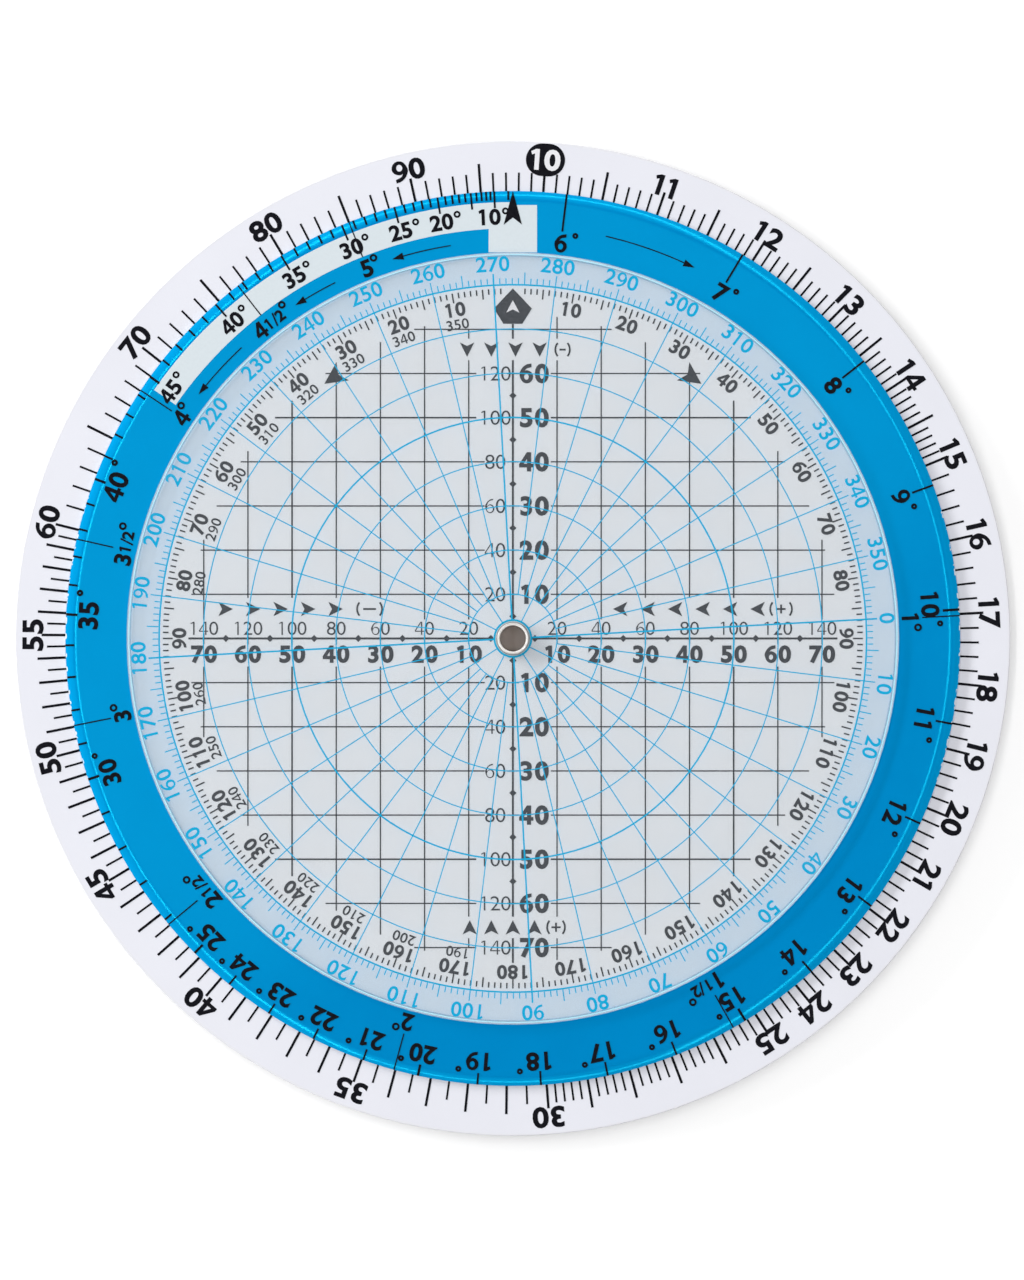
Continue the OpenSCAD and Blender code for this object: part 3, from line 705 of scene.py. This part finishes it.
def cut_figure(figure, weight):
    offset = weight - DRAWN_EXTRA if figure in DRAWN else weight
    if figure == "3":
        offset = min(offset, THREE_MOST)
    curve = figure_curve(figure)
    curve.fill_mode = "FRONT"
    curve.offset = offset
    curve.resolution_u = 4
    holder = bpy.data.objects.new("figure", curve)
    bpy.context.scene.collection.objects.link(holder)
    view = bpy.context.evaluated_depsgraph_get()
    shape = bpy.data.meshes.new_from_object(holder.evaluated_get(view))
    bpy.data.objects.remove(holder)
    shape.transform(Matrix.Translation((-FIGURE_MIDDLE[0], -FIGURE_MIDDLE[1], 0)))
    if figure == "9":
        shape.transform(Matrix.Rotation(math.pi, 4, "Z"))
    shape.transform(Matrix.Scale(1 / (FIGURE_HEIGHT + 2 * offset), 4))
    return shape


cut_figures = {(figure, weight): cut_figure(figure, weight)
               for weight in (LIGHT, REGULAR, MEDIUM, BOLD, HEAVY) for figure in "0123456789"}
print("cut", len(cut_figures), "figures")

# %% [markdown]
# ## Writing on a sheet
# Hundreds of figures are printed, and an object for each would be hard to handle. So each ink layer is
# one sheet: a bmesh in which figures and marks are stamped flat, and which is raised by the thickness
# of the ink at the end. A number stands at a clockwise turn and a radius, with its top outwards. Degree
# signs are small rings, and a half is two smaller figures on both sides of a slash. A style holds a
# number's height, weight, pitch and width, the radius, gap and rise of its degree sign, and how much of
# the pitch a slim 1 takes.

# %% Write the stamping helpers
Style = namedtuple("Style", "height weight pitch widen degree one", defaults=(1.06, None, 1.0))
INK = 0.028 * MM
DEGREE_LINE = 0.125
RING_SEGMENTS = 16
HALF_PITCH = 1.11
HALF_GAP = 0.2
HALF_HEIGHT = 0.68
HALF_ONE_X, HALF_TWO_X = -0.31, 0.486
SLASH_X, SLASH_LEAN, SLASH_LINE, SLASH_TOP = 0.116, 0.1, 0.1, 0.39


def at_turn(turn, r):
    return Matrix.Rotation(math.radians(-turn), 4, "Z") @ Matrix.Translation((0, r, 0))


def moved(x, y):
    return Matrix.Translation((x, y, 0))


def stamp(sheet, shape, place):
    before = len(sheet.verts)
    sheet.from_mesh(shape)
    sheet.verts.ensure_lookup_table()
    bmesh.ops.transform(sheet, matrix=place, verts=sheet.verts[before:])


def stamp_figure(sheet, figure, style, height, place):
    scale = Matrix.Diagonal((height * style.widen, height, 1, 1))
    stamp(sheet, cut_figures[figure, style.weight], place @ scale)


def outline(sheet, points, place=Matrix.Identity(4)):
    return sheet.faces.new([sheet.verts.new(place @ Vector((x, y, 0))) for x, y in points])


def ring_mark(sheet, r, width, place):
    outer = bmesh.ops.create_circle(sheet, segments=RING_SEGMENTS, radius=r, matrix=place)["verts"]
    inner = bmesh.ops.create_circle(sheet, segments=RING_SEGMENTS, radius=r - width, matrix=place)["verts"]
    edges = {edge for vert in outer + inner for edge in vert.link_edges}
    bmesh.ops.bridge_loops(sheet, edges=list(edges))


def half_sign(sheet, style, place):
    size = style.height
    for figure, x in (("1", HALF_ONE_X), ("2", HALF_TWO_X)):
        stamp_figure(sheet, figure, style, HALF_HEIGHT * size, place @ moved(x * size, 0))
    left, right = SLASH_X - SLASH_LINE / 2, SLASH_X + SLASH_LINE / 2
    corners = [(left - SLASH_LEAN, -SLASH_TOP), (right - SLASH_LEAN, -SLASH_TOP),
               (right + SLASH_LEAN, SLASH_TOP), (left + SLASH_LEAN, SLASH_TOP)]
    outline(sheet, [(x * size, y * size) for x, y in corners], place)


def write(sheet, text, style, place):
    figures = text.rstrip("°")
    step = style.pitch * style.height
    shares = {"½": HALF_PITCH / style.pitch, "1": style.one}
    widths = [step * shares.get(figure, 1.0) for figure in figures]
    x = -sum(widths) / 2
    for figure, width in zip(figures, widths):
        middle = place @ moved(x + width / 2, 0)
        if figure == "½":
            half_sign(sheet, style, middle)
        else:
            stamp_figure(sheet, figure, style, style.height, middle)
        x += width
    if text.endswith("°"):
        r, gap, rise = (share * style.height for share in style.degree)
        gap += HALF_GAP * style.height if figures.endswith("½") else 0
        ring_mark(sheet, r, DEGREE_LINE * style.height, place @ moved(x + gap, rise))


def print_sheet(name, sheet, face, body, finish, back=False):
    raise_sheet(sheet, INK)
    turned = Matrix.Rotation(math.pi, 4, "Y") if back else Matrix.Identity(4)
    bmesh.ops.transform(sheet, matrix=Matrix.Translation((0, 0, face)) @ turned, verts=sheet.verts[:])
    return finished_piece(name, sheet, body, finish)


print("stamping helpers ready")

# %% [markdown]
# ## Log figures on the base disc
# The fixed scale runs once round from 10 to 100. A value's turn is its logarithm times a full turn. Every
# unit has a number up to 25, then every five up to 60, then every ten. The 10 is white on a black badge.

# %% Number the base disc
BASE_TURN = 3.9
BASE_FIGURES = Style(3.2 * MM, BOLD, 0.815, 1.15, one=0.82)
CLOSE_R = wind_r + 4.6 * MM
OPEN_R = wind_r + 5.05 * MM
log_values = [*range(11, 26), *range(30, 60, 5), *range(60, 100, 10)]


def log_turn(value):
    return 360 * math.log10(value / 10)


sheet = bmesh.new()
for value in log_values:
    r = CLOSE_R if value <= 25 else OPEN_R
    write(sheet, str(value), BASE_FIGURES, at_turn(BASE_TURN + log_turn(value), r))
print_sheet("base_numbers", sheet, base_face, "base", black_ink)

BADGE_R = base_r - 2.75 * MM
sheet = bmesh.new()
write(sheet, "10", BASE_FIGURES, at_turn(BASE_TURN, BADGE_R))
print_sheet("unit_number", sheet, top_of("base_wind_scale"), "base", white_figure)

# %% [markdown]
# ## Angles on the wind disc
# The blue band has a sine scale, whose larger angles run round the rim and whose small angles hang on
# thin lines, and a cosine scale on the white band left of the index. The turns are the logarithms of the
# sine and the cosine. Numbers follow the ends of their lines, so the first few step outwards. Each ten
# stands a little aside, clear of the mark next to it.

# %% Number the blue band
SMALL_LINE = 5.8 * MM
LINE_STEP = 0.77 * MM
SINE_GAP = 0.4 * MM
SMALL_GAP = 0.5 * MM
FIRST_INSET, LAST_INSET, INSET_STEP = 4.5, 3.5, 0.1
COSINE_R = wind_r - 3.95 * MM
SINE_FIGURES = Style(2.8 * MM, BOLD, 0.74, degree=(0.165, 0.365, 0.49))
LARGE_FIGURES = SINE_FIGURES._replace(height=3.05 * MM)
SMALL_FIGURES = Style(2.65 * MM, BOLD, 0.74, degree=(0.225, 0.19, 0.42))
COSINE_FIGURES = Style(2.45 * MM, BOLD, 0.74, degree=(0.22, 0.30, 0.34))
TEN_ASIDE = -1.15 * MM
COSINE_TEN_ASIDE = -0.95 * MM


def sine_turn(degrees):
    return 360 * math.log10(math.sin(math.radians(degrees)))


def cosine_turn(degrees):
    return 360 * math.log10(math.cos(math.radians(degrees)))


def sine_label_r(degrees):
    if degrees < 10:
        line_end = wind_r - SMALL_LINE + LINE_STEP * (degrees - 6)
        return line_end - SINE_FIGURES.height / 2 - SINE_GAP
    return wind_r - max(LAST_INSET, FIRST_INSET - INSET_STEP * (degrees - 10)) * MM


sheet = bmesh.new()
for degrees in [*range(6, 26), 30, 35, 40]:
    aside = moved(TEN_ASIDE if degrees == 10 else 0, 0)
    style = LARGE_FIGURES if degrees >= 35 else SINE_FIGURES
    write(sheet, f"{degrees}°", style, at_turn(sine_turn(degrees), sine_label_r(degrees)) @ aside)
for degrees in (45, 40, 35, 30, 25, 20, 10):
    aside = moved(COSINE_TEN_ASIDE if degrees == 10 else 0, 0)
    write(sheet, f"{degrees}°", COSINE_FIGURES, at_turn(cosine_turn(degrees), COSINE_R) @ aside)
small_r = wind_r - SMALL_LINE - SMALL_FIGURES.height / 2 - SMALL_GAP
for half_degrees in range(2, 11):
    text = f"{half_degrees // 2}{'½' if half_degrees % 2 else ''}°"
    write(sheet, text, SMALL_FIGURES, at_turn(sine_turn(half_degrees / 2), small_r))
print_sheet("wind_numbers", sheet, band_face, "wind", black_ink)

# %% [markdown]
# ## Arrows on the blue band
# Thin arrows along the band show which way its scales are read. An arrow is a short edge as wide as the
# line, spun round the eyelet's axis, with a triangle at its end. A curve with a bevel would do as well,
# but the spun edge is already flat and has no more faces than it needs.

# %% Draw the band arrows
ARROW_LINE = 0.16 * MM
ARROW_HEAD = 1.1 * MM
HEAD_LENGTH = 1.6
SINE_ARROW_R = wind_r - 5.35 * MM
COSINE_ARROW_R = wind_r - 7.65 * MM


def arc_arrow(sheet, start, end, r, width, head):
    first = sheet.verts.new(at_turn(start, r - width / 2) @ Vector((0, 0, 0)))
    second = sheet.verts.new(at_turn(start, r + width / 2) @ Vector((0, 0, 0)))
    edge = sheet.edges.new((first, second))
    steps = max(2, round(abs(end - start)))
    bmesh.ops.spin(sheet, geom=[first, second, edge], cent=(0, 0, 0), axis=(0, 0, 1),
                   angle=math.radians(start - end), steps=steps)
    way = math.copysign(1, end - start)
    outline(sheet, [(0, -head / 2), (way * HEAD_LENGTH * head, 0), (0, head / 2)], at_turn(end, r))


sheet = bmesh.new()
arc_arrow(sheet, 13, 24.5, SINE_ARROW_R, ARROW_LINE, ARROW_HEAD)
for start, end in ((317, 309.5), (333.5, 328.5), (351, 344)):
    arc_arrow(sheet, start, end, COSINE_ARROW_R, ARROW_LINE, ARROW_HEAD)
print_sheet("band_arrows", sheet, band_face, "wind", black_ink)

# %% [markdown]
# ## Variation figures
# Round the edge of the grid runs a plain degree scale, numbered to both sides of the course index. On
# the left each number but the 90 has its compass bearing beneath it in small figures. An arrowhead on
# each side shows to which side the scale counts.

# %% Number the variation scale
VARIATION_FIGURES = Style(2.15 * MM, BOLD, 0.77)
BEARING_FIGURES = Style(1.55 * MM, REGULAR, 0.78)
VARIATION_R = rose_r - 3.0 * MM
BEARING_R = rose_r - 5.3 * MM
SIDE_ARROW_TURN = 34.5
SIDE_ARROW_R = rose_r - 5.6 * MM
SIDE_ARROW = 3.4 * MM
COURSE_MARK_R = rose_r - 3.4 * MM
COURSE_MARK = [(-1.0 * MM, -0.8 * MM), (0, -0.3 * MM), (1.0 * MM, -0.8 * MM), (0, 1.1 * MM)]


def arrowhead(sheet, size, place):
    outline(sheet, [(-size / 2, -size / 2), (size / 2, 0), (-size / 2, size / 2), (-size / 4, 0)], place)


sheet = bmesh.new()
for degrees in range(10, 190, 10):
    write(sheet, str(degrees), VARIATION_FIGURES, at_turn(degrees, VARIATION_R))
for degrees in range(10, 180, 10):
    write(sheet, str(degrees), VARIATION_FIGURES, at_turn(-degrees, VARIATION_R))
    if degrees != 90:
        write(sheet, str(360 - degrees), BEARING_FIGURES, at_turn(-degrees, BEARING_R))
arrowhead(sheet, SIDE_ARROW, at_turn(SIDE_ARROW_TURN, SIDE_ARROW_R))
arrowhead(sheet, SIDE_ARROW, at_turn(-SIDE_ARROW_TURN, SIDE_ARROW_R) @ Matrix.Rotation(math.pi, 4, "Z"))
print_sheet("variation_numbers", sheet, grid_face, "wind", grid_ink)

sheet = bmesh.new()
outline(sheet, COURSE_MARK, at_turn(0, COURSE_MARK_R))
print_sheet("course_mark", sheet, top_of("variation_scale"), "wind", white_figure)

# %% [markdown]
# ## Grid figures
# The grid has two speed scales on each axis: bold tens on one side and light twenties on the other. Rows
# of plain arrowheads, each with a plus or a minus between brackets, show which way the wind counts along
# an axis.

# %% Number the grid
SPEED_RINGS = 8
speed_pitch = rose_r / SPEED_RINGS
TENS_UPRIGHT = Style(2.95 * MM, HEAVY, 0.80)
TENS_LEVEL = Style(2.65 * MM, HEAVY, 0.80)
TWENTIES_UPRIGHT = Style(2.15 * MM, LIGHT, 0.76)
TWENTIES_LEVEL = Style(2.0 * MM, LIGHT, 0.76)
TENS_X = 3.25 * MM
TENS_Y = -2.4 * MM
TWENTIES_X = -2.7 * MM
TWENTIES_Y = 1.55 * MM

sheet = bmesh.new()
for step in range(1, SPEED_RINGS):
    out = step * speed_pitch
    for way in (1, -1):
        if way * step < SPEED_RINGS - 1:
            write(sheet, str(10 * step), TENS_UPRIGHT, moved(TENS_X, way * out))
            write(sheet, str(20 * step), TWENTIES_UPRIGHT, moved(TWENTIES_X, way * out))
        write(sheet, str(10 * step), TENS_LEVEL, moved(way * out, TENS_Y))
        write(sheet, str(20 * step), TWENTIES_LEVEL, moved(way * out, TWENTIES_Y))
print_sheet("grid_numbers", sheet, grid_face, "wind", grid_ink)

# %% Draw the wind arrows and signs
WIND_ARROW = 2.2 * MM
SIGN_BAR = 0.28 * MM
BRACKET_R = 1.75 * MM
BRACKET_SWEEP = math.radians(78)
BRACKET_STEPS = 6
WIND_ROW_Y = 44.15 * MM
CROSS_ROW_Y = 4.5 * MM
CROSS_PITCH = 4.2
CROSS_LEFT, CROSS_RIGHT = -43.9, 16.4


def bar(sheet, width, height, place):
    bmesh.ops.create_grid(sheet, x_segments=1, y_segments=1, size=0.5,
                          matrix=place @ Matrix.Diagonal((width, height, 1, 1)))


def bracket(sheet, way, place):
    start = Matrix.Rotation(-way * BRACKET_SWEEP / 2, 4, "Z")
    ends = [place @ start @ Vector((way * out, 0, 0)) for out in (BRACKET_R, BRACKET_R - SIGN_BAR)]
    first, second = (sheet.verts.new(end) for end in ends)
    edge = sheet.edges.new((first, second))
    bmesh.ops.spin(sheet, geom=[first, second, edge], cent=place @ Vector((0, 0, 0)), axis=(0, 0, 1),
                   angle=way * BRACKET_SWEEP, steps=BRACKET_STEPS)


def signed_brackets(sheet, plus, width, length, place):
    for way in (-1, 1):
        bracket(sheet, way, place @ moved(way * (width / 2 - BRACKET_R), 0))
    bar(sheet, length, SIGN_BAR, place)
    if plus:
        arm = (length - SIGN_BAR) / 2
        for way in (1, -1):
            bar(sheet, SIGN_BAR, arm, place @ moved(0, way * (SIGN_BAR + arm) / 2))


def arrow_row(sheet, xs, y, heading):
    for x in xs:
        turned = Matrix.Rotation(math.radians(heading), 4, "Z")
        arrowhead(sheet, WIND_ARROW, moved(x * MM, y) @ turned)


sheet = bmesh.new()
arrow_row(sheet, (-7.0, -3.3, 0.4, 4.1), WIND_ROW_Y, -90)
signed_brackets(sheet, False, 2.5 * MM, 0.95 * MM, moved(7.6 * MM, WIND_ROW_Y))
arrow_row(sheet, (-6.6, -3.3, 0, 3.3), -WIND_ROW_Y, 90)
signed_brackets(sheet, True, 3.0 * MM, 1.4 * MM, moved(6.6 * MM, -WIND_ROW_Y))
arrow_row(sheet, [CROSS_LEFT + CROSS_PITCH * step for step in range(5)], CROSS_ROW_Y, 0)
signed_brackets(sheet, False, 4.1 * MM, 1.95 * MM, moved(-21.9 * MM, CROSS_ROW_Y))
arrow_row(sheet, [CROSS_RIGHT + CROSS_PITCH * step for step in range(6)], CROSS_ROW_Y, 180)
signed_brackets(sheet, True, 3.6 * MM, 1.35 * MM, moved(41.0 * MM, CROSS_ROW_Y))
print_sheet("wind_arrows", sheet, grid_face, "wind", grid_ink)

# %% [markdown]
# ## Compass figures
# The compass numbers are light blue like the rose, and lie on top of the frosted disc, over the pale ring.
# They turn with that disc. The real frosted sheet scatters the light, so its print throws no clear shadow
# on the disc below. The veil of this one doesn't scatter it, so the shadow of that print is switched off.

# %% Number the compass
AZIMUTH_TURN = 86.9
ROSE_FIGURES = Style(2.3 * MM, MEDIUM, 0.77)
ROSE_FIGURES_R = rose_r + 3.2 * MM
sheet = bmesh.new()
for degrees in range(0, 360, 10):
    write(sheet, str(degrees), ROSE_FIGURES, at_turn(AZIMUTH_TURN + degrees, ROSE_FIGURES_R))
rose_numbers = print_sheet("rose_numbers", sheet, rose_face, "azimuth", cyan_ink)
for layer in (rose_numbers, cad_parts["azimuth_rose"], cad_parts["azimuth_degrees"]):
    layer.visible_shadow = False

# %% [markdown]
# ## Figures on the back
# The back is a circular slide rule: the same log figures stand on the base disc and, inside its edge, on
# the computer disc, with hours further in and small scales in the windows. The speed index takes the place
# of the computer disc's 60. An hour is sixty minutes, so each hour stands at six times its number. A back
# sheet is written in the same way and then turned over, so it reads the right way round from behind.

# %% Number the back
COMPUTER_TURN = 330
SPEED_INDEX = 60
WINDOW_RADII = (44 * MM, 27 * MM)
WINDOW_MARKS = 24
WINDOW_UNIT = 5
HOUR_R = 56 * MM
LABEL_SHIFT = 1.6 * MM
COMPUTER_FIGURES_R = computer_r - 5.6 * MM
HOUR_FIGURES = Style(2.4 * MM, REGULAR, 0.72)
WINDOW_FIGURES = Style(1.7 * MM, REGULAR, 0.74)
base_back = underside_of("base_disc")
computer_back = underside_of("computer_disc")

sheet = bmesh.new()
for value in log_values:
    write(sheet, str(value), BASE_FIGURES, at_turn(BASE_TURN + log_turn(value), OPEN_R))
for window_r in WINDOW_RADII:
    for index in range(WINDOW_MARKS):
        place = at_turn(BASE_TURN + 360 / WINDOW_MARKS * index, window_r + LABEL_SHIFT)
        write(sheet, str(WINDOW_UNIT * index), WINDOW_FIGURES, place)
print_sheet("base_back_numbers", sheet, base_back, "base", black_ink, back=True)

sheet = bmesh.new()
write(sheet, "10", BASE_FIGURES, at_turn(BASE_TURN, BADGE_R))
print_sheet("unit_back_number", sheet, underside_of("base_computer_scale"), "base",
            white_figure, back=True)

sheet = bmesh.new()
for value in [10, *log_values]:
    if value != SPEED_INDEX:
        place = at_turn(COMPUTER_TURN + log_turn(value), COMPUTER_FIGURES_R)
        write(sheet, str(value), BASE_FIGURES, place)
for hours in range(2, 10):
    place = at_turn(COMPUTER_TURN + log_turn(6 * hours), HOUR_R - LABEL_SHIFT)
    write(sheet, str(hours), HOUR_FIGURES, place)
print_sheet("computer_numbers", sheet, computer_back, "computer", black_ink, back=True)
